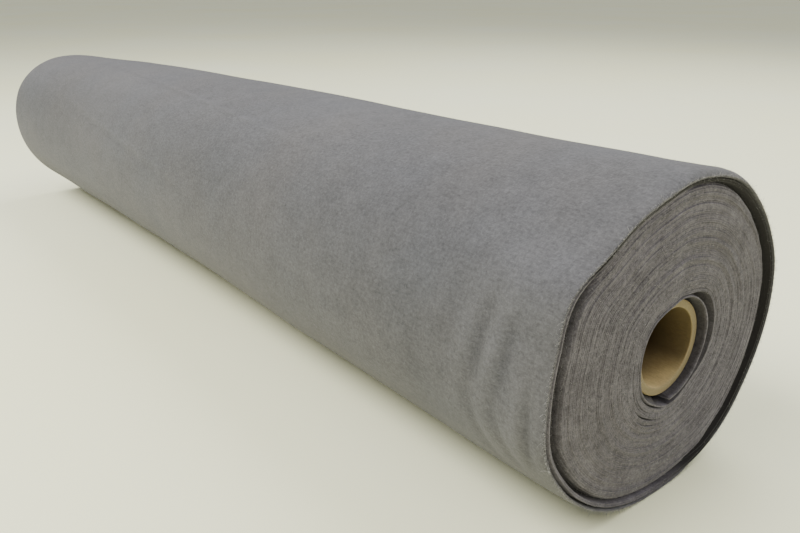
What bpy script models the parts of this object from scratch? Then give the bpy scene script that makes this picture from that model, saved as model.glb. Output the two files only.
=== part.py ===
"""A roll of felt: cloth a metre wide, wound about sixty times on a cardboard tube.

The roll lies on a surface. The origin is on that surface, under the middle of the roll's box.
X runs along the roll and Z is up. Angles turn about X from +Y towards +Z, and the cloth winds
outwards the same way. At the +X end the outer two turns stand proud of the rest as a collar,
and the inner two turns have sprung loose of the tube. The -X end is wound evenly.
"""
import math
from collections import namedtuple

import bmesh
import bpy

MM = 0.001

# Driving dimensions
ROLL_LENGTH = 1.000
TURN = 0.00125
AXIS_Y = -0.0014
AXIS_HEIGHT = 0.1016
BOW = 0.0040
TUBE_OUTER_RADIUS = 0.0305
TUBE_BORE_RADIUS = 0.0254
TUBE_RECESS = 0.0054
TUBE_OFFSET_Y = 0.0024
TUBE_OFFSET_Z = -0.0023
CLEARANCE = 0.0003

# The cloth's loose end, a step one turn thick along the lower back
TAIL_ANGLE = 305.0
TAIL_WIDTH = 1.0
COLUMNS = 72

# Depths below the outermost turn's edge
EDGE_ROUND = 0.0006
SECOND_TURN_DEPTH = 0.0030
LOOSE_DEPTH = 0.034
GROOVE_DEPTH_LEAST = 0.004
GROOVE_DEPTH_MOST = 0.024
GROOVE_GAP_MOST = 0.0066
SLACK_DEPTH = 3.0
RIM_REACH = 0.100
FAR_REACH = 0.180
FAR_COLLAR_DEPTH = 0.0022

# Radii in millimetres every 15 degrees, starting from +Y. body, rim and far are the winding's
# outside along its length, at the +X edge and at the -X edge. first and second are the inner
# edges of the two loose turns, about the tube's axis. slack is the gap under the collar.
Outline = namedtuple("Outline", "body rim far first second slack")
OUTLINES = [
    Outline(111.6, 113.1, 112.5, 32.3, 40.2, 0.5),
    Outline(110.8, 112.4, 113.3, 33.3, 41.0, 0.8),
    Outline(109.6, 108.8, 112.4, 33.5, 41.2, 1.6),
    Outline(108.3, 106.6, 109.6, 33.5, 40.6, 2.8),
    Outline(106.3, 104.4, 105.4, 33.5, 37.8, 3.0),
    Outline(103.6, 102.4, 101.0, 33.3, 35.2, 1.8),
    Outline(101.4, 101.1, 99.2, 32.8, 34.5, 0.8),
    Outline(101.5, 99.2, 100.0, 31.6, 33.4, 0.4),
    Outline(104.5, 101.0, 104.6, 32.4, 34.2, 0.6),
    Outline(108.4, 104.2, 110.2, 33.9, 35.7, 1.2),
    Outline(111.1, 114.8, 113.2, 34.4, 36.1, 2.4),
    Outline(111.8, 112.6, 113.2, 33.6, 35.3, 3.2),
    Outline(111.5, 112.1, 112.0, 33.1, 34.8, 3.4),
    Outline(110.9, 113.2, 109.6, 33.2, 34.9, 2.8),
    Outline(109.8, 109.2, 107.4, 34.0, 35.7, 1.6),
    Outline(107.6, 106.0, 105.6, 34.0, 35.8, 0.8),
    Outline(104.9, 103.6, 104.2, 33.6, 35.6, 0.5),
    Outline(102.9, 101.8, 103.4, 32.8, 36.6, 0.4),
    Outline(102.5, 101.4, 103.2, 32.1, 38.3, 0.4),
    Outline(103.4, 102.4, 103.8, 31.6, 37.6, 0.4),
    Outline(105.2, 106.6, 104.8, 31.3, 34.4, 0.4),
    Outline(107.5, 108.7, 106.4, 31.1, 34.4, 0.4),
    Outline(109.8, 109.2, 108.4, 31.1, 36.6, 0.4),
    Outline(111.4, 111.0, 110.6, 31.6, 38.8, 0.4),
]
OUTLINE_STEP = 360.0 / len(OUTLINES)

# The end faces, from the second turn's edge (share 0) out to the collar (share 1)
FaceRow = namedtuple("FaceRow", "share depth_mm")
NEAR_FACE = [
    FaceRow(0.03, 1.5), FaceRow(0.20, 1.8), FaceRow(0.42, 2.3),
    FaceRow(0.65, 3.2), FaceRow(0.85, 4.6), FaceRow(1.00, 6.2),
]
FAR_FACE = [FaceRow(1.00, 3.4), FaceRow(0.70, 2.4), FaceRow(0.35, 1.8), FaceRow(0.04, 1.4)]

# Places of the outside's rings, as distances from the +X edge
NEAR_STATIONS = [0.0012, 0.008, 0.020, 0.036, 0.056, 0.080, 0.110]
MIDDLE_STATIONS = [0.170, 0.260, 0.360, 0.470, 0.580, 0.690, 0.790]
FAR_STATIONS = [0.860, 0.920, 0.965, 0.990, 0.9988]


def column_angles():
    """Angles of the mesh's columns, from just past the loose end round to its cut edge."""
    angles = [TAIL_ANGLE + 360.0 * column / COLUMNS for column in range(COLUMNS)]
    return angles + [TAIL_ANGLE + 360.0 - TAIL_WIDTH]


def outline(name, angle):
    """One column of OUTLINES at any angle, in metres, on a smooth closed curve."""
    place = (angle % 360.0) / OUTLINE_STEP
    row = int(place)
    along = place - row
    before, start, end, after = (
        getattr(OUTLINES[(row + step) % len(OUTLINES)], name) for step in (-1, 0, 1, 2))
    bend = 2 * before - 5 * start + 4 * end - after
    twist = 3 * (start - end) + after - before
    value = start + 0.5 * along * (end - before + along * (bend + along * twist))
    return value * MM


def ease(share):
    """Smooth step from 0 to 1."""
    share = min(max(share, 0.0), 1.0)
    return share * share * (3.0 - 2.0 * share)


def mix(first, second, share):
    return first + (second - first) * share


def turned(angle, radius, centre_y, centre_z):
    """The point at an angle and a radius about an axis along X, no lower than the surface."""
    radians = math.radians(angle)
    y = centre_y + radius * math.cos(radians)
    z = centre_z + radius * math.sin(radians)
    return y, max(z, 0.0)


def about_tube(angle, radius):
    return turned(angle, radius, AXIS_Y + TUBE_OFFSET_Y, AXIS_HEIGHT + TUBE_OFFSET_Z)


def about_winding(angle, radius):
    return turned(angle, radius, AXIS_Y, AXIS_HEIGHT)


def spiral(angle):
    """How far the winding has grown since its loose end, from half a turn under to half over."""
    return TURN * ((angle - TAIL_ANGLE) / 360.0 - 0.5)


def first_turn(angle, depth):
    """Inner radius of the innermost turn: loose at the edge, tight on the tube deeper in."""
    tight = TUBE_OUTER_RADIUS + CLEARANCE
    return mix(outline("first", angle), tight, ease(depth / LOOSE_DEPTH))


def groove(angle, share, outer):
    """A point on the crescent gap's walls, from its mouth (share 0) to its bottom (share 1)."""
    gap = outline("second", angle) - outline("first", angle) - TURN
    deepest = mix(GROOVE_DEPTH_LEAST, GROOVE_DEPTH_MOST, ease(gap / GROOVE_GAP_MOST))
    depth = mix(EDGE_ROUND, deepest, share)
    radius = first_turn(angle, depth) + TURN
    if outer:
        radius += max(CLEARANCE, gap * (1.0 - 0.6 * share))
        depth = max(depth, NEAR_FACE[0].depth_mm * MM + EDGE_ROUND)
    return (ROLL_LENGTH / 2 - depth, *about_tube(angle, radius))


def across_face(angle, share, edge, inner_radius, outer_radius):
    """A point between the loose turns' edge and the collar's foot."""
    inner_y, inner_z = about_tube(angle, inner_radius)
    outer_y, outer_z = about_winding(angle, outer_radius)
    return edge, mix(inner_y, outer_y, share), mix(inner_z, outer_z, share)


def outside(angle, from_edge):
    """A point on the winding's outside, by its distance from the +X edge."""
    radius = outline("body", angle)
    rim_share = 1.0 - ease(from_edge / RIM_REACH)
    far_share = 1.0 - ease((ROLL_LENGTH - from_edge) / FAR_REACH)
    radius = mix(radius, outline("rim", angle), rim_share)
    radius = mix(radius, outline("far", angle), far_share)
    x = ROLL_LENGTH / 2 - from_edge
    y, z = about_winding(angle, radius + spiral(angle))
    bow = BOW * (1.0 - (2.0 * x / ROLL_LENGTH) ** 2)
    return x, y + bow, z


def bore_rings():
    """The felt's bore, from the -X end to the innermost turn's edge at the +X end."""
    depths = [ROLL_LENGTH - FAR_FACE[-1].depth_mm * MM - EDGE_ROUND]
    depths += [0.5 * ROLL_LENGTH]
    depths += [LOOSE_DEPTH * share for share in (1.6, 1.0, 0.72, 0.46, 0.22)]
    depths += [EDGE_ROUND]
    return [
        lambda angle, depth=depth: (
            ROLL_LENGTH / 2 - depth, *about_tube(angle, first_turn(angle, depth)))
        for depth in depths]


def loose_turn_rings():
    """The innermost turn's thin edge and the crescent gap behind it."""
    rings = [
        lambda angle, part=part: (
            ROLL_LENGTH / 2, *about_tube(angle, first_turn(angle, 0.0) + part * TURN))
        for part in (0.25, 0.75)]
    rings += [lambda angle, share=share: groove(angle, share, False) for share in (0.0, 0.5, 1.0)]
    rings += [lambda angle, share=share: groove(angle, share, True) for share in (1.0, 0.5, 0.0)]
    return rings


def near_face_rings():
    """The +X face of the winding, which sinks towards the collar, and the slack under it."""
    def foot_radius(angle):
        slack = outline("slack", angle)
        return outline("rim", angle) + spiral(angle) - 2 * TURN - slack

    def face(angle, row):
        edge = ROLL_LENGTH / 2 - row.depth_mm * MM
        inner = outline("second", angle) + CLEARANCE
        return across_face(angle, row.share, edge, inner, foot_radius(angle))

    def slack_bottom(angle, share):
        slack = outline("slack", angle)
        depth = NEAR_FACE[-1].depth_mm * MM + SLACK_DEPTH * slack
        radius = foot_radius(angle) + slack * share
        return (ROLL_LENGTH / 2 - depth, *about_winding(angle, radius))

    rings = [lambda angle, row=row: face(angle, row) for row in NEAR_FACE]
    rings += [lambda angle, share=share: slack_bottom(angle, share) for share in (0.1, 0.9)]
    return rings


def collar_rings():
    """The edges of the second turn and of the outermost one, which stands furthest out."""
    def edge(angle, turns_in, depth):
        radius = outline("rim", angle) + spiral(angle) - turns_in * TURN
        return (ROLL_LENGTH / 2 - depth, *about_winding(angle, radius))

    places = [
        (2.00, SECOND_TURN_DEPTH + EDGE_ROUND), (1.80, SECOND_TURN_DEPTH),
        (1.05, SECOND_TURN_DEPTH), (0.95, EDGE_ROUND), (0.75, 0.0), (0.25, 0.0)]
    return [
        lambda angle, turns_in=turns_in, depth=depth: edge(angle, turns_in, depth)
        for turns_in, depth in places]


def outside_rings():
    """The outside of the winding, from the +X end to the -X end."""
    stations = NEAR_STATIONS + MIDDLE_STATIONS + FAR_STATIONS
    return [lambda angle, place=place: outside(angle, place) for place in stations]


def far_face_rings():
    """The -X end: two turns a little proud, then a face that rises towards the tube."""
    def edge(angle, turns_in, depth):
        radius = outline("far", angle) + spiral(angle) - turns_in * TURN
        return (depth - ROLL_LENGTH / 2, *about_winding(angle, radius))

    def face(angle, row):
        inner = TUBE_OUTER_RADIUS + CLEARANCE
        outer = outline("far", angle) + spiral(angle) - 2.2 * TURN
        return across_face(angle, row.share, row.depth_mm * MM - ROLL_LENGTH / 2, inner, outer)

    places = [(0.30, 0.0), (0.80, 0.0), (1.10, FAR_COLLAR_DEPTH), (2.00, FAR_COLLAR_DEPTH)]
    rings = [
        lambda angle, turns_in=turns_in, depth=depth: edge(angle, turns_in, depth)
        for turns_in, depth in places]
    rings += [lambda angle, row=row: face(angle, row) for row in FAR_FACE]
    return rings


def ring_solid(name, rings, angles, material):
    """A closed solid through rings of points: round each ring, and from the last to the first."""
    shape = bmesh.new()
    grid = [[shape.verts.new(ring(angle)) for angle in angles] for ring in rings]
    for here, there in zip(grid, grid[1:] + grid[:1]):
        for column in range(len(angles)):
            following = (column + 1) % len(angles)
            shape.faces.new((here[column], there[column], there[following], here[following]))
    bmesh.ops.triangulate(shape, faces=shape.faces)
    bmesh.ops.recalc_face_normals(shape, faces=shape.faces)
    mesh = bpy.data.meshes.new(name)
    shape.to_mesh(mesh)
    shape.free()
    mesh.materials.append(material)
    mesh.shade_smooth()
    mesh.set_sharp_from_angle(angle=math.radians(35))
    solid = bpy.data.objects.new(name, mesh)
    bpy.context.collection.objects.link(solid)
    return solid


def build_felt(material):
    rings = bore_rings() + loose_turn_rings() + near_face_rings() + collar_rings()
    rings += outside_rings() + far_face_rings()
    return ring_solid("felt_roll", rings, column_angles(), material)


def build_tube(material):
    """The cardboard tube, a little shorter than the cloth is wide."""
    end = ROLL_LENGTH / 2 - TUBE_RECESS
    corners = [
        (-end, TUBE_BORE_RADIUS), (end, TUBE_BORE_RADIUS),
        (end, TUBE_OUTER_RADIUS), (-end, TUBE_OUTER_RADIUS)]
    rings = [
        lambda angle, x=x, radius=radius: (x, *about_tube(angle, radius))
        for x, radius in corners]
    return ring_solid("core_tube", rings, column_angles()[:COLUMNS], material)


def make_material(name, color, roughness, sheen=0.0):
    material = bpy.data.materials.new(name)
    material.use_nodes = True
    shader = material.node_tree.nodes["Principled BSDF"]
    shader.inputs["Base Color"].default_value = (*color, 1.0)
    shader.inputs["Roughness"].default_value = roughness
    shader.inputs["Metallic"].default_value = 0.0
    shader.inputs["Sheen Weight"].default_value = sheen
    return material


def main():
    for thing in list(bpy.data.objects):
        bpy.data.objects.remove(thing, do_unlink=True)
    build_felt(make_material("felt_grey", (0.26, 0.255, 0.25), 0.95, sheen=0.3))
    build_tube(make_material("cardboard", (0.50, 0.34, 0.17), 0.85))


main()
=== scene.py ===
"""Looks of the roll of felt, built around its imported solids.

The felt is one closed mesh that follows the winding itself: a spiral of about sixty turns whose
edges make the two end faces, joined by the outside and by the bore. Lengths are in metres and
angles in degrees, turned about X from +Y towards +Z, as in the solids.
"""
import math
from collections import namedtuple

import bpy
import numpy as np
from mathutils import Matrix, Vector


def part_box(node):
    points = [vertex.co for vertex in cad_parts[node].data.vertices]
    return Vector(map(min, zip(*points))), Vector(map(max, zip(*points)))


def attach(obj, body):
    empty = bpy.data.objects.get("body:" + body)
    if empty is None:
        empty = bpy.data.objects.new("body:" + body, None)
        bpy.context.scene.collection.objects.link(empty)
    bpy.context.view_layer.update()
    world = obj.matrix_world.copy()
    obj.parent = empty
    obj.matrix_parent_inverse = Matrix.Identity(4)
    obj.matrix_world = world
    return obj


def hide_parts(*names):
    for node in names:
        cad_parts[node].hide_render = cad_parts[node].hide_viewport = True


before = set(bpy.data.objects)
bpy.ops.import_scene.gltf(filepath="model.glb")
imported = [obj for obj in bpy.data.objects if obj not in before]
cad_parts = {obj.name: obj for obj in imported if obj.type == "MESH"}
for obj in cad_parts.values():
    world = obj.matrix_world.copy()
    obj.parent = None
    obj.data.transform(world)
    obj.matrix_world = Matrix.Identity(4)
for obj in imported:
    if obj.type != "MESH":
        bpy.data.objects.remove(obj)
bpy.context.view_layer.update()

MM = 0.001
FELT_LOW, FELT_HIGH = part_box("felt_roll")
TUBE_LOW, TUBE_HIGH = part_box("core_tube")

# Sizes of the winding, which are also the solids'
LENGTH = FELT_HIGH[0] - FELT_LOW[0]
TURN = 0.00125
TUBE_Y = (TUBE_LOW[1] + TUBE_HIGH[1]) / 2
TUBE_Z = (TUBE_LOW[2] + TUBE_HIGH[2]) / 2
TUBE_RADIUS = (TUBE_HIGH[2] - TUBE_LOW[2]) / 2
TUBE_WALL = 0.0051
AXIS_Y = TUBE_Y - 0.0024
AXIS_Z = TUBE_Z + 0.0023
CLEARANCE = 0.0003
BOW = 0.0040

# The spiral: where the cloth ends outside, where it starts on the tube, and its mesh
COLUMNS = 160
WHOLE_TURNS = 56
ODD_COLUMNS = 15
TURNS = WHOLE_TURNS + ODD_COLUMNS / COLUMNS
TAIL_ANGLE = 305.0
START_ANGLE = TAIL_ANGLE - 360.0 * ODD_COLUMNS / COLUMNS
DIVE_TURNS = 0.12
COLLAR_TURNS = 3.0
OUTSIDE_RINGS = 150
EDGE_ROUND = 0.00045
LOOSE_DEPTH = 0.034
TIGHT_DEPTH = 0.010
TIGHT_ANGLE = 262.0
TIGHT_SPREAD = 42.0
BORE_DEPTH = 0.060
BORE_SHARES = (0.03, 0.08, 0.15, 0.25, 0.40, 0.60, 1.0)
# Painted shade in the bore: its strength just inside the edge, and the depth at which it is full
BORE_SHADE = 0.55
BORE_DARK_DEPTH = 0.022
NEAR_BLEND = 0.100
FAR_BLEND = 0.180
RING_CROWDING = 0.11

# The grooves between the turns and their painted shade, and how the cloth thins at its loose end
GROOVE_MOST = 0.024
GROOVE_SLOPE = 2.5
GROOVE_STEEPENING = 1.2
OPEN_GROOVE = 0.0045
TIGHT_GROOVE_SHADE = 0.06
TAIL_TURNS = 0.06
TAIL_THINNING = 0.85
TAIL_CORNER = 0.003

# Painted shade on the outer turns' edges: how strong it is, and where it lies on the outermost one
COLLAR_SHADE = 0.95
GAP_SHADE = 0.55
SHADED_GAP = 0.0025
RIM_TOP_ANGLE, RIM_TOP_SPREAD = 78.0, 34.0
RIGHT_SIDE_LEAN = 8.0
RIGHT_SIDE_FROM, RIGHT_SIDE_OVER = 0.30, 0.45
OUTER_CUT = 0.12

# Radii in millimetres every 15 degrees from +Y. body, rim and far are the outside along the
# roll, at the +X edge and at the -X edge, about the winding's axis. first and second are the
# inner edges of the two loose turns at the +X end, about the tube's axis. slack and part are the
# gaps inside the outer three turns and inside the outermost one. plateau is where the level
# middle of the +X face ends, and shade is how strong the painted shade beyond it is, from 0 to 1.
Outline = namedtuple("Outline", "body rim far first second slack part plateau shade")
OUTLINES = [
    Outline(111.6, 115.2, 112.5, 32.3, 40.2, 0.7, 0.2, 99.8, 1.00),
    Outline(110.8, 114.6, 113.3, 33.3, 41.0, 1.0, 0.3, 99.8, 1.00),
    Outline(109.6, 110.6, 112.4, 33.5, 41.2, 1.6, 0.5, 97.5, 1.00),
    Outline(108.3, 107.8, 109.0, 33.5, 40.6, 2.4, 0.6, 96.5, 1.00),
    Outline(106.3, 106.3, 102.5, 33.5, 37.8, 2.2, 0.5, 96.5, 0.95),
    Outline(103.6, 103.6, 99.5, 33.3, 35.2, 0.6, 0.3, 96.2, 0.90),
    Outline(101.4, 101.8, 99.6, 32.8, 34.5, 0.3, 0.2, 95.2, 0.85),
    Outline(101.5, 99.6, 102.6, 31.6, 33.4, 0.2, 0.1, 95.5, 0.85),
    Outline(104.5, 101.0, 108.0, 32.4, 34.2, 0.2, 0.2, 98.0, 0.80),
    Outline(108.4, 104.2, 113.0, 33.9, 35.7, 0.3, 1.0, 99.0, 0.75),
    Outline(111.1, 114.8, 115.9, 34.4, 36.1, 1.2, 2.2, 99.2, 0.30),
    Outline(111.8, 111.9, 114.9, 33.6, 35.3, 1.4, 2.0, 97.8, 0.00),
    Outline(111.5, 112.1, 112.6, 33.1, 34.8, 1.4, 2.2, 96.4, 0.00),
    Outline(110.9, 113.2, 110.3, 33.2, 34.9, 1.2, 2.3, 98.2, 0.05),
    Outline(109.8, 109.2, 107.6, 34.0, 35.7, 0.8, 1.9, 97.3, 0.20),
    Outline(107.6, 106.0, 104.6, 34.0, 35.8, 0.6, 1.4, 95.6, 0.40),
    Outline(104.9, 103.6, 104.2, 33.6, 35.4, 0.5, 1.0, 95.2, 0.45),
    Outline(102.9, 101.8, 103.4, 32.8, 35.6, 0.5, 0.7, 93.4, 0.40),
    Outline(102.5, 101.4, 103.2, 32.1, 35.8, 0.5, 0.5, 93.0, 0.45),
    Outline(103.4, 103.2, 103.8, 31.6, 35.4, 0.4, 0.3, 94.4, 0.60),
    Outline(105.2, 108.6, 104.8, 31.3, 34.4, 0.4, 0.2, 97.0, 0.90),
    Outline(107.5, 112.1, 106.4, 31.1, 34.4, 0.4, 0.2, 97.6, 1.00),
    Outline(109.8, 112.5, 108.4, 31.1, 36.6, 0.4, 0.2, 98.2, 1.00),
    Outline(111.4, 114.0, 110.6, 31.6, 38.8, 0.4, 0.2, 99.0, 1.00),
]

# Swellings of the outside beyond those radii, along the roll from its +X edge: one round its top,
# which ends in a soft shoulder, and one low on the -Y side
SWELLING_TOP, SWELLING_TOP_WIDTH = 70.0, 40.0
SWELLING_LOW, SWELLING_LOW_WIDTH = 227.0, 42.0
SwellRow = namedtuple("SwellRow", "from_edge top_mm low_mm")
SWELLING = [
    SwellRow(0.0, 0.0, 0.0), SwellRow(0.0015, 1.7, 0.3), SwellRow(0.004, 3.1, 0.8),
    SwellRow(0.009, 3.7, 1.5), SwellRow(0.020, 3.1, 1.9), SwellRow(0.040, 2.3, 2.0),
    SwellRow(0.080, 2.0, 1.5), SwellRow(0.150, 1.1, 1.3), SwellRow(0.300, 1.0, 1.2),
    SwellRow(0.400, 0.7, -1.0), SwellRow(0.500, 0.0, -2.2), SwellRow(0.600, -0.9, -2.8),
    SwellRow(0.700, -2.0, -3.2), SwellRow(0.800, -3.8, -4.0), SwellRow(0.900, -5.3, -3.9),
    SwellRow(0.950, -5.9, -3.2), SwellRow(1.000, -6.7, -2.6),
]

# Depth of each turn's edge below the outermost one. turns_in counts from the loose end.
EdgeRow = namedtuple("EdgeRow", "turns_in depth_mm")
NEAR_COLLAR = [
    EdgeRow(0.0, 0.0), EdgeRow(0.92, 0.1), EdgeRow(1.08, 0.5), EdgeRow(2.0, 0.9),
    EdgeRow(2.9, 1.3), EdgeRow(3.2, 2.2), EdgeRow(12.0, 1.3), EdgeRow(24.0, 0.9),
    EdgeRow(52.0, 0.6), EdgeRow(57.0, 0.3),
]
FAR_COLLAR = [
    EdgeRow(0.0, 0.0), EdgeRow(0.9, 0.4), EdgeRow(1.6, 1.8), EdgeRow(2.2, 3.2),
    EdgeRow(8.0, 3.4), EdgeRow(24.0, 2.2), EdgeRow(57.0, 1.2),
]

# The trough round the +X face, between its level middle and the proud outer turns, with the painted
# shade in it and on those turns' edges, and the painted highlight on its brink
TROUGH_DEPTH = 0.0056
TROUGH_SLOPE = 0.0042
TROUGH_DIM_LIT, TROUGH_DIM_SHADED = 0.68, 0.985
TROUGH_BRINK = 0.0008
TROUGH_DIM_OVER = 0.0022
COLLAR_DIM = 0.96
OUTERMOST_DIM = 0.82

# Gaps between turns further out. passes counts how often the cloth has come by that angle, and
# the turns outside the gap close up again over a few turns.
LooseRow = namedtuple("LooseRow", "passes angle spread gap_mm")
LOOSE_TURNS = [
    LooseRow(6, 196.0, 34.0, 0.6), LooseRow(8, 238.0, 16.0, 0.9), LooseRow(5, 222.0, 18.0, 0.5),
    LooseRow(11, 244.0, 14.0, 0.6), LooseRow(4, 40.0, 36.0, 0.4), LooseRow(7, 350.0, 40.0, 0.3),
]
CLOSING_PASSES = 5.0

# Creases of the outside, by angle and distance from the +X edge. slant is how far a crease moves
# along the roll in 100 degrees.
Crease = namedtuple("Crease", "angle from_edge spread width slant height_mm")
CREASES = [
    Crease(168.0, 0.0510, 15.0, 0.0045, 0.030, -1.7),
    Crease(170.0, 0.0620, 15.0, 0.0055, 0.030, 1.0),
    Crease(171.0, 0.0310, 14.0, 0.0042, 0.030, -1.6),
    Crease(172.0, 0.0405, 16.0, 0.0050, 0.030, 1.2),
    Crease(190.0, 0.0120, 11.0, 0.0036, 0.0, -1.4),
    Crease(186.0, 0.0200, 14.0, 0.0045, 0.010, 1.0),
    Crease(196.0, 0.0560, 18.0, 0.0050, -0.060, -1.0),
    Crease(194.0, 0.0360, 16.0, 0.0045, -0.060, -0.9),
    Crease(176.0, 0.0780, 20.0, 0.0080, 0.020, -0.7),
    Crease(190.0, 0.1050, 26.0, 0.0110, 0.0, -0.5),
    Crease(150.0, 0.0400, 14.0, 0.0200, 0.0, 0.6),
    Crease(118.0, 0.5400, 8.0, 0.0300, -2.2, 0.9), Crease(121.0, 0.4500, 8.0, 0.0260, -2.2, -0.9),
    Crease(126.0, 0.3700, 8.0, 0.0260, -2.2, 0.8), Crease(114.0, 0.6800, 8.0, 0.0280, -2.0, -0.8),
    Crease(154.0, 0.7000, 12.0, 0.0300, -1.6, 0.7), Crease(160.0, 0.6200, 12.0, 0.0280, -1.6, -0.8),
    Crease(166.0, 0.4700, 12.0, 0.0280, -1.6, 0.6), Crease(174.0, 0.3400, 12.0, 0.0260, -1.6, -0.6),
]
# Relief at which the painted shade in the creases and the painted light on their crests are full
CREASE_SHADING_HEIGHT = 0.0011

# Camera, fitted to the photograph's 800 by 533 pixels
CAMERA_FROM_AXIS = (0.71176, -0.37656, 0.30608 - 0.1025)
CAMERA_YAW = -51.148
CAMERA_PITCH = 20.739
CAMERA_LENS = 34.39
SENSOR_WIDTH = 36.0

# Tube and hairs
TUBE_COLUMNS = 160
TUBE_STATIONS = (
    0.993, 0.986, 0.978, 0.97, 0.96, 0.95, 0.93, 0.91, 0.88, 0.84, 0.78, 0.5,
    0.0, -0.5, -0.84, -0.91, -0.95, -0.98, -0.993)
# Painted shade inside the tube: the depth where it starts and over which it grows, its strength low
# down and higher up, its strength right behind the lip on all but the lowest side, and where that lit
# lowest side ends
TUBE_LIT_DEPTH = 0.003
TUBE_DARKENING = 0.027
TUBE_SHADE_BELOW, TUBE_SHADE_ABOVE = 0.74, 0.88
TUBE_LIP = 0.0007
TUBE_SIDE_SHADE = 0.84
TUBE_LIT_SINE, TUBE_LIT_SOFTNESS = 0.97, 0.5
FACE_FIBRES = 4600
RIM_FIBRES = 3800
NAP_FIBRES = 6000

# Colours, linear
FELT_COOL = (0.0875, 0.0885, 0.0950)
FELT_WARM = (0.0960, 0.0925, 0.0930)
CUT_DARK = (0.091, 0.083, 0.093)
CUT_LIGHT = (0.135, 0.125, 0.138)
# Painted shade: the near-black that the felt's cut edges are darkened towards in grooves, the trough,
# the outer turns' walls and the bore
PAINTED_SHADE = (0.015, 0.0135, 0.0128)
HAIR_DARK = (0.20, 0.19, 0.185)
HAIR_LIGHT = (0.46, 0.45, 0.44)
NAP_DARK = (0.125, 0.125, 0.130)
NAP_LIGHT = (0.24, 0.24, 0.245)
BOARD_DARK = (0.50, 0.37, 0.17)
BOARD_LIGHT = (0.68, 0.53, 0.26)
BOARD_CUT = (0.250, 0.200, 0.116)
# Painted shade deep inside the tube
BOARD_PAINTED_SHADE = (0.052, 0.032, 0.012)
FLOOR_COOL = (0.94, 0.95, 0.69)
FLOOR_WARM = (0.94, 0.935, 0.62)
FLOOR_SIZE = 40.0

NOISE_SEED = 7

# Waviness of the edges: waves in a turn, height in millimetres, and the number of the noise
EDGE_WAVES = (
    (0.38, 0.30, 5), (0.9, 0.22, 1), (2.7, 0.16, 2), (9.0, 0.12, 3), (31.0, 0.10, 4),
    (70.0, 0.11, 7))


def smooth(share):
    share = np.clip(share, 0.0, 1.0)
    return share * share * (3.0 - 2.0 * share)


def mix(first, second, share):
    return first + (second - first) * share


def turned_from(middle, angle):
    """How far angles lie past a middle one, from -180 to 180."""
    return (angle - middle + 180.0) % 360.0 - 180.0


def column_at(name, angle):
    """One column of OUTLINES at any angles, on a smooth closed curve."""
    values = np.array([getattr(row, name) for row in OUTLINES])
    place = (angle % 360.0) / (360.0 / len(values))
    row = np.floor(place).astype(int) % len(values)
    along = place - np.floor(place)
    before, start, end, after = (values[(row + step) % len(values)] for step in (-1, 0, 1, 2))
    bend = 2 * before - 5 * start + 4 * end - after
    twist = 3 * (start - end) + after - before
    return start + 0.5 * along * (end - before + along * (bend + along * twist))


def outline(name, angle):
    """One of the radii or gaps of OUTLINES at any angles, in metres."""
    return column_at(name, angle) * MM


def wave_noise(place, seed):
    """Smooth noise from -1 to 1 along a line, one bump for each unit of place."""
    values = np.random.default_rng(NOISE_SEED + seed).uniform(-1.0, 1.0, 4096)
    cell = np.floor(place).astype(int)
    share = smooth(place - cell)
    return mix(values[cell % 4096], values[(cell + 1) % 4096], share)


def surface_noise(across, along, period, seed):
    """Smooth noise from -1 to 1 over a surface that closes after a whole number of units."""
    values = np.random.default_rng(NOISE_SEED + seed).uniform(-1.0, 1.0, (period, 512))
    row = np.floor(across).astype(int)
    cell = np.floor(along).astype(int)
    row_share = smooth(across - row)
    cell_share = smooth(along - cell)
    low = mix(values[row % period, cell % 512], values[(row + 1) % period, cell % 512], row_share)
    high = mix(values[row % period, (cell + 1) % 512],
               values[(row + 1) % period, (cell + 1) % 512], row_share)
    return mix(low, high, cell_share)


def swelling(angle, from_edge):
    """How far the outside stands beyond the radii of OUTLINES."""
    rows = np.array(SWELLING)
    total = 0.0
    for column, middle, width in (
            (1, SWELLING_TOP, SWELLING_TOP_WIDTH), (2, SWELLING_LOW, SWELLING_LOW_WIDTH)):
        height = np.interp(from_edge, rows[:, 0], rows[:, column]) * MM
        total = total + height * np.exp(-(turned_from(middle, angle) / width) ** 2)
    return total


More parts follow.
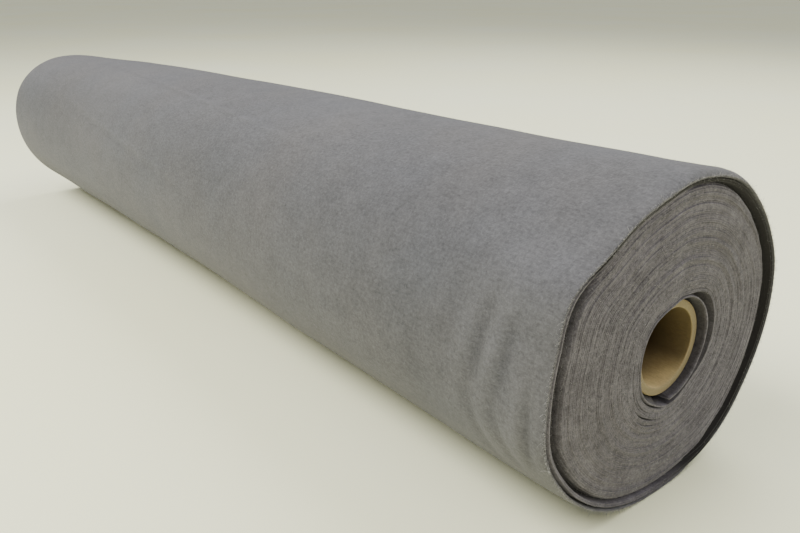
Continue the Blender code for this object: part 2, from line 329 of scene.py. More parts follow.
class End:
    """One end of the spiral: the radii and depths of every column's cloth edge."""

    def __init__(self, side):
        self.near = side > 0
        self.side = side
        self.seed = 0 if self.near else 40
        self.turn = np.arange(WHOLE_TURNS * COLUMNS + ODD_COLUMNS + 1) / COLUMNS
        self.angle = START_ANGLE + 360.0 * self.turn
        self.turns_in = TURNS - self.turn
        self.inner = self.inner_radius()
        self.share = np.clip((self.turn - 1.0) / (TURNS - 1.0 - COLLAR_TURNS), 0.0, 1.0)
        self.depth = self.edge_depth()
        self.valley_depth, self.valley_radius, self.valley_shade = self.valley()

    def loop_start(self, angle):
        """Inner edge of the second turn, a spiral that grows by one pitch over its last part."""
        part = ((angle - START_ANGLE) % 360.0) / 360.0
        pitch = self.pitch_at_start()
        return self.second(angle) + pitch * smooth((part - 0.8) / 0.2), part

    def first(self, angle):
        tight = TUBE_RADIUS + CLEARANCE
        return outline("first", angle) if self.near else np.full_like(angle, tight)

    def second(self, angle):
        tight = TUBE_RADIUS + CLEARANCE + TURN
        return outline("second", angle) if self.near else np.full_like(angle, tight)

    def rim(self, angle):
        if self.near:
            return outline("rim", angle)
        return outline("far", angle) + swelling(angle, LENGTH)

    def gaps(self, angle):
        """Gap inside the second turn, and gap between it and the outermost."""
        if self.near:
            return outline("slack", angle), outline("part", angle)
        return np.full_like(angle, 0.0003), np.full_like(angle, 0.0001)

    def body_edge(self, angle):
        slack, part = self.gaps(angle)
        return self.rim(angle) - (COLLAR_TURNS + 0.5) * TURN - slack - part

    def pitch_at_start(self):
        angle = np.array([START_ANGLE])
        span = TURNS - 1.0 - COLLAR_TURNS
        return float((self.body_edge(angle) - self.second(angle))[0] / span)

    def inner_radius(self):
        """Inner radius of the cloth at every column, at its edge."""
        angle = self.angle
        start, part = self.loop_start(angle)
        pitch = (self.body_edge(angle) - start) / (TURNS - 1.0 - COLLAR_TURNS - part)
        radius = start + (self.turn - 1.0 - part) * pitch + self.loosening()
        dive = smooth((self.turn - (1.0 - DIVE_TURNS)) / DIVE_TURNS)
        first = mix(self.first(angle), self.second(angle), dive)
        slack, gap = self.gaps(angle)
        collar = self.rim(angle) - (self.turns_in + 0.5) * TURN
        collar = collar - gap * smooth((self.turns_in - 0.9) / 0.1)
        collar = collar - slack * smooth((self.turns_in - COLLAR_TURNS + 0.1) / 0.1)
        radius = np.where(self.turns_in < COLLAR_TURNS, collar, radius)
        return np.where(self.turn < 1.0, first, radius)

    def loosening(self):
        """Extra radius outside each gap of LOOSE_TURNS."""
        extra = np.zeros_like(self.angle)
        if not self.near:
            return extra
        for row in LOOSE_TURNS:
            passes = np.floor((self.angle - row.angle + 180.0) / 360.0)
            turned = turned_from(row.angle, self.angle)
            closing = np.exp((row.passes - passes) / CLOSING_PASSES) * (passes >= row.passes)
            extra = extra + row.gap_mm * MM * closing * np.exp(-(turned / row.spread) ** 2)
        return extra * smooth((self.turns_in - COLLAR_TURNS) / 6.0)

    def edge_depth(self):
        """How far each column's edge lies below the outermost one."""
        table = NEAR_COLLAR if self.near else FAR_COLLAR
        rows = np.array([(row.turns_in, row.depth_mm * MM) for row in table])
        depth = np.interp(self.turns_in, rows[:, 0], rows[:, 1])
        depth = depth + TROUGH_DEPTH * self.trough()
        depth = depth + TAIL_CORNER * smooth(1.0 - self.turns_in / TAIL_TURNS)
        calm = smooth(self.turns_in / 2.5) * smooth(self.turn / 2.0)
        for waves, size_mm, number in EDGE_WAVES:
            waviness = wave_noise(self.turn * waves, self.seed + number)
            depth = depth + size_mm * MM * calm * waviness
        return np.maximum(depth, 0.0)

    def trough(self):
        """1 in the trough behind the outer turns, 0 on the face's level middle."""
        if not self.near:
            return np.zeros_like(self.angle)
        beyond = self.inner - outline("plateau", self.angle)
        return smooth(beyond / TROUGH_SLOPE) * smooth((self.turns_in - COLLAR_TURNS) / 0.1)

    def tone(self):
        """Lightness of each turn's edge, from -2 to 2: a tone that differs at random from turn to
        turn, and a painted highlight on the proud outer turns and the trough's brink on the lit side.
        """
        broad = wave_noise(self.turn * 0.31, self.seed + 11)
        long = wave_noise(self.turn * 1.7, self.seed + 12)
        short = wave_noise(self.turn * 7.0, self.seed + 13)
        lit_side = 1.0 - self.shade()
        proud = (self.turns_in >= 1.0) * (self.turns_in < COLLAR_TURNS)
        brink = np.exp(-((self.inner - outline("plateau", self.angle)) / TROUGH_BRINK) ** 2)
        lit = 1.6 * np.maximum(proud, brink) * lit_side * self.near
        return 0.5 * broad + 0.3 * long + 0.2 * short + lit

    def shade(self):
        """How strong the painted shade on the trough and the outer turns beside it is, from 0 to 1.
        """
        return np.clip(column_at("shade", self.angle), 0.0, 1.0) * self.near

    def right_side(self):
        """1 on the +Y side, where even the outermost turn's edge gets painted shade, otherwise 0."""
        lean = np.cos(np.radians(self.angle + RIGHT_SIDE_LEAN))
        return smooth((lean - RIGHT_SIDE_FROM) / RIGHT_SIDE_OVER) * self.near

    def dim(self):
        """Painted shade on the trough and on the edges of the outer turns."""
        beyond = self.inner - outline("plateau", self.angle) - TROUGH_BRINK
        trough_shade = smooth(beyond / TROUGH_DIM_OVER) * (self.turns_in >= COLLAR_TURNS) * self.near
        trough_shade = trough_shade * mix(TROUGH_DIM_LIT, TROUGH_DIM_SHADED, self.shade())
        proud = (self.turns_in < COLLAR_TURNS) * COLLAR_DIM * smooth((self.shade() - 0.3) / 0.45)
        outermost = OUTERMOST_DIM * self.right_side()
        return np.maximum(trough_shade, np.where(self.turns_in < 1.0, outermost, proud))

    def over_top(self):
        """1 round the top, where the outermost turn's inner corner is in shade."""
        turned = turned_from(RIM_TOP_ANGLE, self.angle)
        return np.exp(-(turned / RIM_TOP_SPREAD) ** 4) * self.near

    def wall_shade(self):
        """Painted shade on each turn's inner corner, by the gap that it stands over and on the outer
        turns' shaded side.
        """
        dark_side = np.maximum(self.right_side(), self.over_top())
        wall = COLLAR_SHADE * dark_side * (self.turns_in < COLLAR_TURNS)
        over_gap = GAP_SHADE * smooth(self.gap / SHADED_GAP)
        return np.maximum(np.maximum(wall, over_gap), self.dim())

    def cut(self):
        """1 where a turn shows its cut edge. The outermost one shows the outside's nap there."""
        return np.where(self.turns_in < 1.0, OUTER_CUT, 1.0)

    def place(self, angle, radius, share, depth, turns_in):
        """Points at a depth below this end's plane; share runs from the tube to the outside."""
        radians = np.radians(angle)
        y = mix(TUBE_Y, AXIS_Y, share) + radius * np.cos(radians)
        z = mix(TUBE_Z, AXIS_Z, share) + radius * np.sin(radians)
        lowest = np.maximum(turns_in - 0.5, 0.0) * TURN * 0.8
        return np.stack([self.side * (LENGTH / 2 - depth), y, np.maximum(z, lowest)], axis=-1)

    def valley(self):
        """Depth, radius and painted shade of the groove inside each turn, deep and dark where the
        turns stand apart.
        """
        outside_before = self.inner[:-COLUMNS] + TURN
        gap = np.concatenate([np.zeros(COLUMNS), self.inner[COLUMNS:] - outside_before])
        gap = np.maximum(gap, 0.0)
        self.gap = gap
        groove = (0.14 + 0.10 * wave_noise(self.turn * 3.0, self.seed + 10)) * MM
        open_depth = gap * (GROOVE_SLOPE + GROOVE_STEEPENING * gap / MM)
        open_depth = np.minimum(open_depth, GROOVE_MOST)
        before = np.concatenate([self.depth[:COLUMNS], self.depth[:-COLUMNS]])
        depth = np.maximum(self.depth, before) + groove + open_depth
        wedge = smooth((self.turn[:COLUMNS] - (1.0 - 0.6 * DIVE_TURNS)) / (0.6 * DIVE_TURNS))
        depth[:COLUMNS] = mix(depth[:COLUMNS], depth[COLUMNS], wedge)
        open_share = smooth((depth - np.maximum(self.depth, before)) / OPEN_GROOVE)
        shade = np.maximum(mix(TIGHT_GROOVE_SHADE, 1.0, open_share), self.dim())
        shade = np.where(self.turns_in < 1.0, 1.0, shade)
        return depth, self.inner - 0.5 * gap, shade

    def edge_points(self):
        """Grooves between turns, and the two shoulders of each turn's edge."""
        thick = TURN * (1.0 + 0.10 * wave_noise(self.turn * 5.0, self.seed + 8))
        thick = thick * (1.0 - TAIL_THINNING * smooth(1.0 - self.turns_in / TAIL_TURNS))
        tilt = 0.12 * MM * wave_noise(self.turn * 12.0, self.seed + 9)
        grooves = self.place(
            self.angle, self.valley_radius, self.share, self.valley_depth, self.turns_in + 0.5)
        inner = self.place(
            self.angle, self.inner + 0.16 * thick, self.share,
            np.maximum(self.depth + tilt, 0.0), self.turns_in + 0.3)
        outer = self.place(
            self.angle, self.inner + 0.80 * thick, self.share,
            np.maximum(self.depth - tilt, 0.0), self.turns_in - 0.3)
        return grooves, inner, outer


def ring_grid(columns, stations, point):
    """Points for each column and station of a surface along the roll."""
    return np.stack([point(columns, station) for station in stations], axis=1)


def creases(angle, from_edge):
    """Low relief of the outside: soft waves of the loose outer turn, and a few long creases."""
    around = angle / 360.0
    height = 0.55 * MM * surface_noise(around * 7, from_edge * 7.0, 7, 21)
    height = height + 0.30 * MM * surface_noise(around * 16, from_edge * 17.0, 16, 22)
    for row in CREASES:
        turned = turned_from(row.angle, angle)
        along = from_edge - row.from_edge - row.slant * turned / 100.0
        fade = np.exp(-(turned / row.spread) ** 2) * np.exp(-(along / row.width) ** 2)
        height = height + row.height_mm * MM * fade
    return height


class Outside:
    """The surface of the winding between its two edges, from the loose end round to itself."""

    def __init__(self, near, far):
        self.column = np.arange(COLUMNS + 1)
        self.angle = TAIL_ANGLE + 360.0 * self.column / COLUMNS
        self.near_depth = near.depth[-COLUMNS - 1:] + EDGE_ROUND
        self.far_depth = far.depth[-COLUMNS - 1:] + EDGE_ROUND

    def stations(self):
        """Shares of the way from the near edge to the far one, closer together at both."""
        count = OUTSIDE_RINGS
        even = np.linspace(0.0, 1.0, count)
        return even - RING_CROWDING * np.sin(2.0 * np.pi * even)

    def from_edge(self, columns, station):
        return mix(self.near_depth[columns], LENGTH - self.far_depth[columns], station)

    def relief(self, columns, station):
        """Height of the creases, which die away at both edges and at the loose end."""
        from_edge = self.from_edge(columns, station)
        fade = smooth(from_edge / 0.010) * smooth((LENGTH - from_edge) / 0.012)
        from_step = np.minimum(self.column[columns], COLUMNS - self.column[columns])
        return creases(self.angle[columns], from_edge) * fade * smooth(from_step / 4.0)

    def tone(self, columns, station):
        """Painted light and shade on the outside's relief: darker in its hollows and creases, lighter
        on its crests, from -2 to 2.
        """
        return np.clip(self.relief(columns, station) / CREASE_SHADING_HEIGHT, -2.0, 2.0)

    def point(self, columns, station):
        angle = self.angle[columns]
        from_edge = self.from_edge(columns, station)
        radius = outline("body", angle)
        radius = mix(radius, outline("rim", angle), 1.0 - smooth(from_edge / NEAR_BLEND))
        far_share = 1.0 - smooth((LENGTH - from_edge) / FAR_BLEND)
        radius = mix(radius, outline("far", angle), far_share)
        radius = radius + swelling(angle, from_edge)
        radius = radius + self.relief(columns, station)
        radius = radius + TURN * (self.column[columns] / COLUMNS - 0.5)
        to_tail = (COLUMNS - self.column[columns]) / COLUMNS
        radius = radius - TURN * TAIL_THINNING * smooth(1.0 - to_tail / TAIL_TURNS)
        x = LENGTH / 2 - from_edge
        radians = np.radians(angle)
        bow = BOW * (1.0 - (2.0 * x / LENGTH) ** 2)
        y = AXIS_Y + bow + radius * np.cos(radians)
        z = AXIS_Z + radius * np.sin(radians)
        return np.stack([x, y, np.maximum(z, 0.0)], axis=-1)


class Bore:
    """The inside of the first turn, which flares off the tube at the near end."""

    def __init__(self):
        self.turn = np.arange(COLUMNS + 1) / COLUMNS

    def radius(self, end, depth):
        """Radius at a depth: that of the edge at first, then tight on the tube."""
        climb = TURN * smooth((self.turn - (1.0 - DIVE_TURNS)) / DIVE_TURNS)
        tight = TUBE_RADIUS + CLEARANCE + climb
        loose = end.inner[:COLUMNS + 1]
        reach = mix(LOOSE_DEPTH, TIGHT_DEPTH, self.tight_side())
        return mix(loose, tight, smooth(depth / reach))

    def tight_side(self):
        """1 where the first turn closes on the tube soon behind its edge, which is below it."""
        turned = turned_from(TIGHT_ANGLE, START_ANGLE + 360.0 * self.turn)
        return np.exp(-(turned / TIGHT_SPREAD) ** 4)

    def rings(self, end, first_depth):
        """Rings of points from just inside an end's edge to where the cloth is tight."""
        angle = START_ANGLE + 360.0 * self.turn
        rings = []
        for share in BORE_SHARES:
            depth = mix(first_depth, BORE_DEPTH, share)
            radius = self.radius(end, depth)
            share_out = np.zeros_like(angle)
            turns_in = np.full_like(angle, TURNS)
            rings.append(end.place(angle, radius, share_out, depth, turns_in))
        return rings


class Builder:
    """Collects vertices, faces and vertex values for one mesh."""

    def __init__(self):
        self.points = []
        self.values = []
        self.faces = []
        self.count = 0

    def add(self, points, cut, groove=0.0, tone=0.0):
        """Adds points with their values, and returns their numbers in the same arrangement."""
        shape = points.shape[:-1]
        flat = points.reshape(-1, 3)
        numbers = np.arange(self.count, self.count + len(flat)).reshape(shape)
        self.points.append(flat)
        values = [np.broadcast_to(value, shape).reshape(-1) for value in (cut, groove, tone)]
        self.values.append(np.stack(values, axis=-1))
        self.count += len(flat)
        return numbers

    def quads(self, first, second, third, fourth, flip=False):
        faces = np.stack([first, second, third, fourth], axis=-1).reshape(-1, 4)
        self.faces.append(faces[:, ::-1] if flip else faces)

    def mesh(self, name, triangles=None):
        """The mesh, from the quads so far and any triangles."""
        points = np.concatenate(self.points)
        quads = np.concatenate(self.faces)
        triangles = np.zeros((0, 3), int) if triangles is None else triangles
        corners = np.concatenate([quads.reshape(-1), triangles.reshape(-1)])
        starts = np.concatenate([
            4 * np.arange(len(quads)), 4 * len(quads) + 3 * np.arange(len(triangles))])
        used, corners = np.unique(corners, return_inverse=True)
        points = points[used]
        values = np.concatenate(self.values)[used]
        mesh = bpy.data.meshes.new(name)
        mesh.vertices.add(len(points))
        mesh.vertices.foreach_set("co", points.reshape(-1))
        mesh.loops.add(len(corners))
        mesh.loops.foreach_set("vertex_index", corners)
        mesh.polygons.add(len(starts))
        mesh.polygons.foreach_set("loop_start", starts)
        mesh.update(calc_edges=True)
        # cut picks the cut edges' colour, groove is painted shade from 0 to 1, and tone is random
        # tone with painted light and shade
        for index, value_name in enumerate(("cut", "groove", "tone")):
            layer = mesh.attributes.new(value_name, "FLOAT", "POINT")
            layer.data.foreach_set("value", values[:, index].astype(np.float32))
        mesh.validate()
        return mesh


def add_end(builder, end, outside_edge):
    """One end face. outside_edge is the outside's ring of point numbers at this end."""
    valleys, inner, outer = end.edge_points()
    flip = not end.near
    tone = end.tone()
    # The shade values here are painted shade: in the grooves, on the turns' inner corners and on
    # their edges
    valley = builder.add(valleys, 1.0, end.valley_shade, tone)
    first = builder.add(inner, end.cut(), end.wall_shade(), tone)
    second = builder.add(outer, end.cut(), end.dim(), tone)
    beyond = np.concatenate([valley, outside_edge[1:]])
    next_valley = beyond[COLUMNS:]
    builder.quads(valley[:-1], first[:-1], first[1:], valley[1:], flip)
    builder.quads(first[:-1], second[:-1], second[1:], first[1:], flip)
    builder.quads(second[:-1], next_valley[:-1], next_valley[1:], second[1:], flip)
    builder.quads(valley[-1:], first[-1:], second[-1:], next_valley[-1:], flip)
    builder.quads(valley[:1], valley[COLUMNS:COLUMNS + 1], second[:1], first[:1], flip)
    return valley


def felt_mesh():
    """The whole felt: both ends of the spiral, the outside and the bore."""
    near, far = End(1), End(-1)
    builder = Builder()
    outside = Outside(near, far)
    surface = ring_grid(outside.column, outside.stations(), outside.point)
    grid = builder.add(
        surface, 0.0, 0.0, ring_grid(outside.column, outside.stations(), outside.tone))
    near_valley = add_end(builder, near, grid[:, 0])
    far_valley = add_end(builder, far, grid[:, -1])
    grid[0, 0] = near_valley[-1]
    grid[0, -1] = far_valley[-1]
    builder.quads(grid[:-1, 1:], grid[1:, 1:], grid[1:, :-1], grid[:-1, :-1])
    builder.quads(grid[0, 1:], grid[0, :-1], grid[-1, :-1], grid[-1, 1:])

    bore = Bore()
    near_rings = bore.rings(near, near.valley_depth[:COLUMNS + 1])
    far_rings = bore.rings(far, far.valley_depth[:COLUMNS + 1])
    # Painted shade in the bore, darker deeper in
    into = np.array(BORE_SHARES) * BORE_DEPTH
    dark = mix(BORE_SHADE, 1.0, smooth(into / BORE_DARK_DEPTH))
    inside = np.stack(near_rings + far_rings[::-1], axis=1)
    inside = builder.add(inside, 1.0, np.concatenate([dark, dark[::-1]])[None, :])
    head, foot = near_valley[:COLUMNS + 1], far_valley[:COLUMNS + 1]
    inside = np.concatenate([head[:, None], inside, foot[:, None]], axis=1)
    builder.quads(inside[:-1, :-1], inside[1:, :-1], inside[1:, 1:], inside[:-1, 1:])
    builder.quads(inside[0, 1:], inside[-1, 1:], inside[-1, :-1], inside[0, :-1])
    return builder.mesh("felt_winding")


def tube_profile():
    """Outline of the cardboard's wall from its near outer corner round, as (x, radius, cut)."""
    end = TUBE_HIGH[0]
    outer, inner = TUBE_RADIUS, TUBE_RADIUS - TUBE_WALL
    rim = [(0.6, 0.0, 0.0), (0.15, 0.3, 0.6), (0.0, 0.8, 1.0)]
    plies = [(0.12 * (step % 2), 0.8 + 0.5 * step, 1.0) for step in range(1, 7)]
    lip = [(0.0, 4.4, 1.0), (0.2, 4.9, 0.8), (0.7, 5.1, 0.2)]
    corner = [(depth * MM, outer - in_mm * MM, cut) for depth, in_mm, cut in rim + plies + lip]
    near = [(end - depth, radius, cut) for depth, radius, cut in corner]
    inside = [(end * share, inner, 0.0) for share in TUBE_STATIONS]
    far = [(-x, radius, cut) for x, radius, cut in reversed(near)]
    outside = [(-end * share, outer, 0.0) for share in TUBE_STATIONS]
    return near + inside + far + outside


def tube_mesh():
    """The cardboard tube, with a worn lip and the edges of its plies at each end, and painted shade
    inside.
    """
    angle = 360.0 * np.arange(TUBE_COLUMNS) / TUBE_COLUMNS
    radians = np.radians(angle)
    rows = []
    cuts = []
    painted_shades = []
    for number, (x, radius, cut) in enumerate(tube_profile()):
        frayed = cut * (radius < TUBE_RADIUS - 0.8 * TUBE_WALL)
        rough = surface_noise(angle / 360.0 * 48, np.full_like(angle, number * 0.7), 48, 61)
        broad = surface_noise(angle / 360.0 * 9, np.full_like(angle, number * 0.2), 9, 62)
        nudge = (0.05 * cut + 0.20 * frayed) * MM * rough + 0.10 * cut * MM * broad
        along = x - np.sign(x) * np.maximum(nudge, 0.0)
        across = radius + 0.8 * frayed * MM * np.maximum(rough * 0.5 + broad * 0.3, -0.1)
        points = [along, TUBE_Y + across * np.cos(radians), TUBE_Z + across * np.sin(radians)]
        rows.append(np.stack(points, axis=-1))
        cuts.append(np.full_like(angle, cut))
        # Painted shade inside the tube: darker deeper in, and right behind the lip on all but its
        # lowest side, where light falls in
        depth = TUBE_HIGH[0] - abs(x)
        above = smooth((np.sin(radians) + TUBE_LIT_SINE) / TUBE_LIT_SOFTNESS)
        deep = mix(TUBE_SHADE_BELOW, TUBE_SHADE_ABOVE, above)
        deep = deep * smooth((depth - TUBE_LIT_DEPTH) / TUBE_DARKENING)
        upper = TUBE_SIDE_SHADE * above * smooth(depth / TUBE_LIP)
        inside = radius < TUBE_RADIUS - 0.9 * TUBE_WALL
        painted_shades.append(inside * (1.0 - (1.0 - deep) * (1.0 - upper)))
    builder = Builder()
    grid = builder.add(np.stack(rows), np.stack(cuts), np.stack(painted_shades))
    grid = np.concatenate([grid, grid[:1]])
    grid = np.concatenate([grid, grid[:, :1]], axis=1)
    builder.quads(grid[:-1, :-1], grid[1:, :-1], grid[1:, 1:], grid[:-1, 1:], flip=True)
    return builder.mesh("tube_board")


def fibre_mesh(name, roots, tips, bend, thickness):
    """Thin three-sided hairs from roots to tips, as one mesh of closed slivers."""
    count = len(roots)
    line = tips - roots
    length = np.linalg.norm(line, axis=1, keepdims=True)
    forward = line / length
    helper = np.where(np.abs(forward[:, :1]) > 0.8, [[0.0, 1.0, 0.0]], [[1.0, 0.0, 0.0]])
    side = np.cross(forward, helper)
    side = side / np.linalg.norm(side, axis=1, keepdims=True)
    other = np.cross(forward, side)
    shares = (0.0, 0.4, 0.75, 1.0)
    widths = (1.0, 0.9, 0.6, 0.25)
    rings = []
    for share, width in zip(shares, widths):
        centre = roots + line * share + bend * length * math.sin(math.pi * share)
        for corner in range(3):
            turn = 2.0 * math.pi * corner / 3
            offset = side * math.cos(turn) + other * math.sin(turn)
            rings.append(centre + offset * thickness[:, None] * width / 2)
    points = np.stack(rings, axis=1).reshape(count, len(shares), 3, 3)
    builder = Builder()
    grid = builder.add(points, 0.0)
    for corner in range(3):
        beside = (corner + 1) % 3
        builder.quads(grid[:, :-1, corner], grid[:, :-1, beside],
                      grid[:, 1:, beside], grid[:, 1:, corner])
    caps = np.concatenate([grid[:, 0, ::-1], grid[:, -1]])
    return builder.mesh(name, caps)


def face_fibres(near):
    """Stray hairs and pale specks on the near face, and hairs round its rim."""
    draw = np.random.default_rng(NOISE_SEED + 80)
    _, inner, outer = near.edge_points()
    last = len(near.turn) - 1

    def on_edge(column, across):
        low = np.minimum(column.astype(int), last - 1)
        part = (column - low)[:, None]
        return mix(mix(inner[low], inner[low + 1], part), mix(outer[low], outer[low + 1], part),
                   across[:, None])

    spread = 0.5 * COLUMNS + (last - 0.5 * COLUMNS) * draw.power(1.6, FACE_FIBRES)
    roots = on_edge(spread, draw.uniform(-0.3, 1.3, FACE_FIBRES))
    way = draw.normal(0.0, 1.0, (FACE_FIBRES, 3))
    way[:, 0] = np.abs(way[:, 0]) * 0.7 + 0.15
    way = way / np.linalg.norm(way, axis=1, keepdims=True)
    length = draw.uniform(0.4, 1.8, (FACE_FIBRES, 1)) * MM
    thickness = draw.uniform(0.05, 0.17, FACE_FIBRES) * MM

    rim_column = last - draw.uniform(0.0, COLUMNS, RIM_FIBRES)
    rim_roots = on_edge(rim_column, draw.uniform(0.2, 1.2, RIM_FIBRES))
    rim_angle = START_ANGLE + 360.0 * rim_column / COLUMNS
    radians = np.radians(rim_angle + draw.normal(0.0, 40.0, RIM_FIBRES))
    rim_way = np.stack([draw.normal(0.25, 0.4, RIM_FIBRES), np.cos(radians), np.sin(radians)], -1)
    rim_way = rim_way / np.linalg.norm(rim_way, axis=1, keepdims=True)
    rim_length = draw.gamma(2.0, 0.6, (RIM_FIBRES, 1)) * MM
    rim_thickness = draw.uniform(0.06, 0.16, RIM_FIBRES) * MM

    roots = np.concatenate([roots, rim_roots])
    tips = roots + np.concatenate([way * length, rim_way * rim_length])
    tips[:, 2] = np.maximum(tips[:, 2], 0.0004)
    bend = draw.normal(0.0, 0.16, roots.shape)
    return fibre_mesh("felt_hairs", roots, tips, bend, np.concatenate([thickness, rim_thickness]))


def nap_fibres(outside):
    """Short hairs of the nap, which lie on the outside and stand a little off it."""
    draw = np.random.default_rng(NOISE_SEED + 90)
    column = draw.uniform(4.0, COLUMNS - 4.0, NAP_FIBRES)
    station = draw.uniform(0.002, 0.998, NAP_FIBRES)
    low = column.astype(int)
    part = (column - low)[:, None]
    roots = mix(outside.point(low, station), outside.point(low + 1, station), part)
    radians = np.radians(outside.angle[low])
    outwards = np.stack([0.0 * radians, np.cos(radians), np.sin(radians)], axis=-1)
    around = np.stack([0.0 * radians, -np.sin(radians), np.cos(radians)], axis=-1)
    heading = draw.normal(0.6, 0.9, NAP_FIBRES)[:, None]
    way = around * np.sin(heading) + np.array([1.0, 0.0, 0.0]) * np.cos(heading)
    way = way + outwards * draw.uniform(0.05, 0.55, (NAP_FIBRES, 1))
    tips = roots + way * draw.uniform(0.8, 3.0, (NAP_FIBRES, 1)) * MM
    clear = np.minimum(roots[:, 2], tips[:, 2]) > 1.5 * MM
    bend = draw.normal(0.0, 0.12, roots.shape)
    thickness = draw.uniform(0.05, 0.12, NAP_FIBRES) * MM
    return fibre_mesh("felt_nap", roots[clear], tips[clear], bend[clear], thickness[clear])


class Shader:
    """A node material, with short calls for the nodes that the materials share."""

    def __init__(self, name):
        self.material = bpy.data.materials.new(name)
        self.material.use_nodes = True
        self.tree = self.material.node_tree
        self.surface = self.tree.nodes["Principled BSDF"]
        self.place = self.tree.nodes.new("ShaderNodeTexCoord").outputs["Object"]

    def link(self, source, socket):
        self.tree.links.new(source, socket)

    def set(self, **values):
        for name, value in values.items():
            self.surface.inputs[name.replace("_", " ")].default_value = value

    def mapped(self, scale, rotation=(0.0, 0.0, 0.0)):
        node = self.tree.nodes.new("ShaderNodeMapping")
        node.inputs["Scale"].default_value = scale
        node.inputs["Rotation"].default_value = rotation
        self.link(self.place, node.inputs["Vector"])
        return node.outputs["Vector"]

    def noise(self, scale, detail=2.0, roughness=0.5, place=None):
        node = self.tree.nodes.new("ShaderNodeTexNoise")
        node.inputs["Scale"].default_value = scale
        node.inputs["Detail"].default_value = detail
        node.inputs["Roughness"].default_value = roughness
        self.link(place or self.place, node.inputs["Vector"])
        return node.outputs["Fac"]

    def attribute(self, name):
        node = self.tree.nodes.new("ShaderNodeAttribute")
        node.attribute_name = name
        return node.outputs["Fac"]

    def math(self, operation, first, second):
        node = self.tree.nodes.new("ShaderNodeMath")
        node.operation = operation
        for socket, value in zip(node.inputs, (first, second)):
            if isinstance(value, (int, float)):
                socket.default_value = value
            else:
                self.link(value, socket)
        return node.outputs["Value"]

    def ranged(self, value, low, high, from_low=0.3, from_high=0.7):
        node = self.tree.nodes.new("ShaderNodeMapRange")
        node.inputs["From Min"].default_value = from_low
        node.inputs["From Max"].default_value = from_high
        node.inputs["To Min"].default_value = low
        node.inputs["To Max"].default_value = high
        self.link(value, node.inputs["Value"])
        return node.outputs["Result"]

    def blend(self, share, first, second):
        """Mixes two colours, each a colour or another node's output."""
        node = self.tree.nodes.new("ShaderNodeMix")
        node.data_type = "RGBA"
        self.link(share, node.inputs["Factor"])
        for socket, value in zip((node.inputs[6], node.inputs[7]), (first, second)):
            if isinstance(value, tuple):
                socket.default_value = (*value, 1.0)
            else:
                self.link(value, socket)
        return node.outputs[2]

    def scaled(self, colour, factor):
        """A colour multiplied by a number."""
        node = self.tree.nodes.new("ShaderNodeVectorMath")
        node.operation = "SCALE"
        self.link(colour, node.inputs[0])
        self.link(factor, node.inputs["Scale"])
        return node.outputs["Vector"]

    def bump(self, height, distance, strength=1.0):
        node = self.tree.nodes.new("ShaderNodeBump")
        node.inputs["Distance"].default_value = distance
        node.inputs["Strength"].default_value = strength
        self.link(height, node.inputs["Height"])
        self.link(node.outputs["Normal"], self.surface.inputs["Normal"])


def felt_material():
    """Napped grey felt: clouded and mottled, darker and browner on its cut edges, with painted shade
    from the groove value, and random tone with painted light and shade from the tone value.
    """
    shader = Shader("felt")
    clouds = shader.noise(9.0, 3.0)
    blotches = shader.noise(60.0, 3.0, 0.6)
    nap = shader.noise(430.0, 3.0, 0.65)
    fine = shader.noise(1500.0, 2.0, 0.6)
    lay = shader.noise(1.0, 2.0, 0.6, shader.mapped((150.0, 1000.0, 1000.0), (0.3, 0.5, 0.2)))
    cross = shader.noise(1.0, 2.0, 0.6, shader.mapped((1000.0, 240.0, 1000.0), (0.4, -0.3, 0.5)))
    hairs = shader.math("ADD", lay, cross)

    outside = shader.blend(shader.ranged(clouds, 0.0, 1.0), FELT_COOL, FELT_WARM)
    light = shader.math("ADD", shader.ranged(blotches, -0.08, 0.08), shader.ranged(nap, 0.80, 1.20))
    light = shader.math("ADD", light, shader.ranged(fine, -0.12, 0.12))
    light = shader.math("ADD", light, shader.ranged(hairs, -0.15, 0.15, 0.7, 1.3))
    # The tone value brings random tone and painted light and shade: lit proud turns, and darker
    # hollows and creases with lighter crests on the outside
    tone = shader.ranged(shader.attribute("tone"), -0.30, 0.30, -2.0, 2.0)
    outside = shader.scaled(outside, shader.math("ADD", light, tone))

    grain = shader.math("ADD", shader.ranged(fine, -0.30, 0.30), shader.ranged(nap, 0.66, 1.34))
    grain = shader.math("ADD", grain, tone)
    edge_colour = shader.blend(shader.ranged(blotches, 0.0, 1.0), CUT_DARK, CUT_LIGHT)
    edge = shader.scaled(edge_colour, grain)
    # Painted shade: the groove value darkens the cut edges towards near-black in grooves, the trough,
    # the outer turns' walls and the bore
    edge = shader.blend(shader.attribute("groove"), edge, PAINTED_SHADE)
    colour = shader.blend(shader.attribute("cut"), outside, edge)
    shader.link(colour, shader.surface.inputs["Base Color"])

    height = shader.math("ADD", shader.math("MULTIPLY", nap, 0.6), shader.math("MULTIPLY", fine, 0.4))
    height = shader.math("ADD", height, shader.math("MULTIPLY", hairs, 0.3))
    shader.bump(height, 0.0005, 0.8)
    shader.set(Roughness=0.95, Sheen_Weight=0.12, Sheen_Roughness=0.5, Specular_IOR_Level=0.15)
    return shader.material


def hair_material(name, dark, light):
    """Loose hairs, each patch of them a little different."""
    shader = Shader(name)
    patch = shader.noise(700.0, 1.0)
    colour = shader.blend(shader.ranged(patch, 0.0, 1.0), dark, light)
    shader.link(colour, shader.surface.inputs["Base Color"])
    shader.set(Roughness=0.8, Specular_IOR_Level=0.2)
    return shader.material


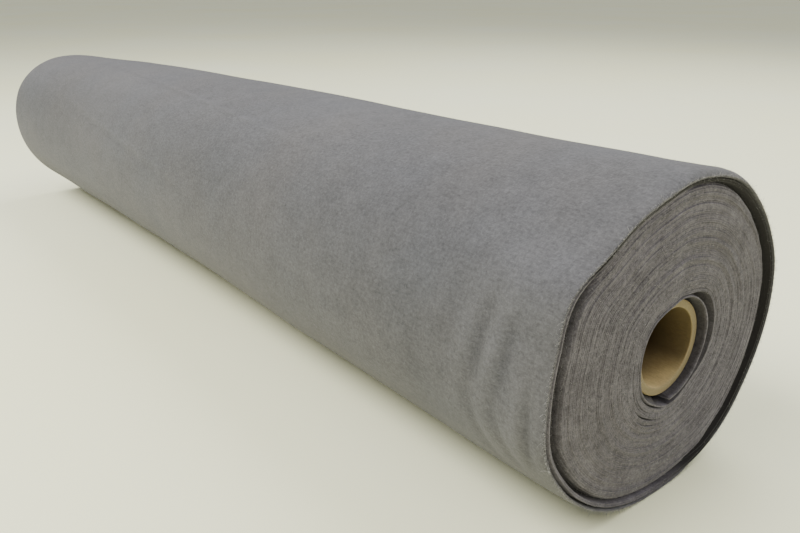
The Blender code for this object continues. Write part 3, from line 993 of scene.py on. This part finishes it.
def cardboard_material():
    """Brown board with fine fibres: greyer on its cut ends, with painted shade inside the tube,
    darkest deep in.
    """
    shader = Shader("cardboard")
    fibres = shader.noise(1.0, 3.0, 0.6, shader.mapped((260.0, 900.0, 900.0), (0.0, 0.0, 0.4)))
    patches = shader.noise(45.0, 3.0)
    speck = shader.noise(1300.0, 2.0, 0.7)
    wall = shader.blend(shader.ranged(patches, 0.0, 1.0), BOARD_DARK, BOARD_LIGHT)
    light = shader.math("ADD", shader.ranged(fibres, 0.90, 1.10), shader.ranged(speck, -0.08, 0.08))
    colour = shader.scaled(shader.blend(shader.attribute("cut"), wall, BOARD_CUT), light)
    # Painted shade inside the tube, from the groove value
    colour = shader.blend(shader.attribute("groove"), colour, BOARD_PAINTED_SHADE)
    shader.link(colour, shader.surface.inputs["Base Color"])
    shader.bump(shader.math("ADD", fibres, speck), 0.00015, 0.6)
    shader.set(Roughness=0.82, Specular_IOR_Level=0.25)
    return shader.material


def floor_material():
    """The pale surface, faintly clouded."""
    shader = Shader("floor_finish")
    clouds = shader.noise(1.3, 2.0)
    colour = shader.blend(shader.ranged(clouds, 0.0, 1.0), FLOOR_COOL, FLOOR_WARM)
    shader.link(colour, shader.surface.inputs["Base Color"])
    shader.set(Roughness=0.6, Specular_IOR_Level=0.3)
    return shader.material


def add_piece(name, mesh, material):
    """Puts a finished mesh in the scene as a piece that rides on the one body."""
    mesh.materials.append(material)
    piece = bpy.data.objects.new(name, mesh)
    bpy.context.scene.collection.objects.link(piece)
    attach(piece, "root")
    return piece


def add_felt(material):
    mesh = felt_mesh()
    mesh.shade_smooth()
    piece = add_piece("felt_winding", mesh, material)
    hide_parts("felt_roll")
    return piece


def add_tube(material):
    mesh = tube_mesh()
    mesh.shade_smooth()
    piece = add_piece("tube_board", mesh, material)
    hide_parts("core_tube")
    return piece


def add_floor(material):
    bpy.ops.mesh.primitive_plane_add(size=FLOOR_SIZE)
    floor = bpy.context.object
    floor.name = "floor"
    floor.data.materials.append(material)


def add_light(name, place, target, size, power, colour):
    """A square softbox that faces a point."""
    light = bpy.data.lights.new(name, "AREA")
    light.shape = "RECTANGLE"
    light.size, light.size_y = size
    light.energy = power
    light.color = colour
    lamp = bpy.data.objects.new(name, light)
    lamp.location = place
    aim = Vector(target) - Vector(place)
    lamp.rotation_euler = aim.to_track_quat("-Z", "Y").to_euler()
    bpy.context.scene.collection.objects.link(lamp)


def add_lights():
    add_light("key", (-0.45, -1.4, 2.0), (0.0, 0.0, 0.1), (2.0, 1.3), 91.0, (1.0, 0.99, 0.98))
    add_light("top", (0.2, 1.5, 2.1), (0.0, 0.1, 0.0), (3.2, 1.6), 62.0, (1.0, 1.0, 0.97))
    add_light("front", (2.0, -0.3, 1.7), (0.5, 0.0, 0.1), (1.0, 0.8), 8.0, (1.0, 0.96, 0.88))
    world = bpy.data.worlds.new("studio")
    world.use_nodes = True
    background = world.node_tree.nodes["Background"]
    background.inputs["Color"].default_value = (0.98, 0.99, 1.0, 1.0)
    background.inputs["Strength"].default_value = 0.58
    bpy.context.scene.world = world


def add_camera():
    """The photograph's camera."""
    camera = bpy.data.cameras.new("camera")
    camera.sensor_width = SENSOR_WIDTH
    camera.lens = CAMERA_LENS
    view = bpy.data.objects.new("camera", camera)
    axis = Vector((0.0, AXIS_Y, AXIS_Z))
    view.location = axis + Vector(CAMERA_FROM_AXIS)
    view.rotation_euler = (math.radians(90.0 - CAMERA_PITCH), 0.0, math.radians(-CAMERA_YAW))
    bpy.context.scene.collection.objects.link(view)
    bpy.context.scene.camera = view


def main():
    add_camera()
    add_lights()
    add_floor(floor_material())
    add_felt(felt_material())
    add_tube(cardboard_material())
    near, far = End(1), End(-1)
    loose = hair_material("felt_hair", HAIR_DARK, HAIR_LIGHT)
    add_piece("felt_hairs", face_fibres(near), loose)
    nap = hair_material("felt_nap", NAP_DARK, NAP_LIGHT)
    add_piece("felt_nap", nap_fibres(Outside(near, far)), nap)


main()
